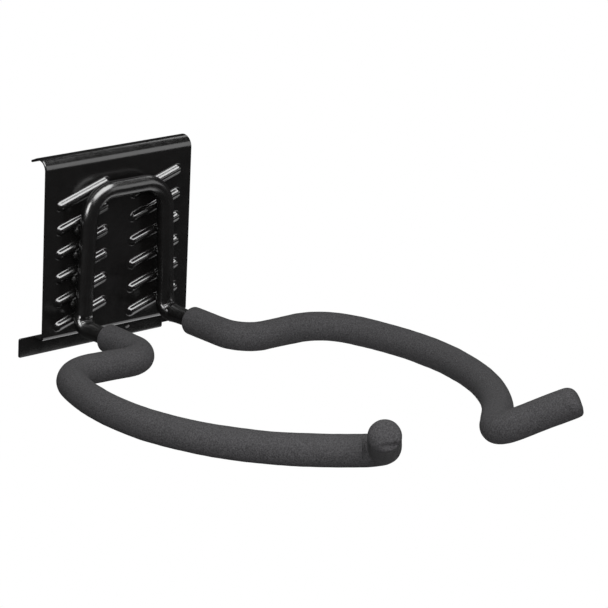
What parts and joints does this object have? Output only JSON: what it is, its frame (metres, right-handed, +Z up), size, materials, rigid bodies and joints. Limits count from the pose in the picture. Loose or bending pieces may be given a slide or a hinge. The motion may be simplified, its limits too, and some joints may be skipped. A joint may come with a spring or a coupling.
{
  "type": "bicycle wall rack",
  "caption": "Slatwall bicycle rack: ribbed hook-on back plate with a sliding lock bar, and a bent rod frame whose two curved arms wear foam sleeves.",
  "frame": {"origin": "middle of the plate's flat back face, which lies against the wall slat", "axes": "+Z up, +X to the right seen from in front of the wall, arms reach out along -Y, wall towards +Y"},
  "size_m": [0.3449, 0.4771, 0.1725],
  "materials": {
    "black_coated_steel": "black powder coat, satin with a fine orange peel",
    "foam": "dark grey closed-cell foam tube, matt, fine grained"
  },
  "bodies": {
    "rack": {"back_plate": "black_coated_steel", "rod_frame": "black_coated_steel", "foam_sleeve_left": "foam", "foam_sleeve_right": "foam", "weld_left_1": "black_coated_steel", "weld_left_2": "black_coated_steel", "weld_left_3": "black_coated_steel", "weld_left_4": "black_coated_steel", "weld_right_1": "black_coated_steel", "weld_right_2": "black_coated_steel", "weld_right_3": "black_coated_steel", "weld_right_4": "black_coated_steel"},
    "lock_slide": {"lock_bar": "black_coated_steel", "lock_rivet_1": "black_coated_steel", "lock_rivet_2": "black_coated_steel"}
  },
  "joints": [
    {"name": "lock_bar_slide", "type": "slide", "parent": "rack", "child": "lock_slide", "axis": [1, 0, 0], "range_m": [0, 0.015]}
  ]
}
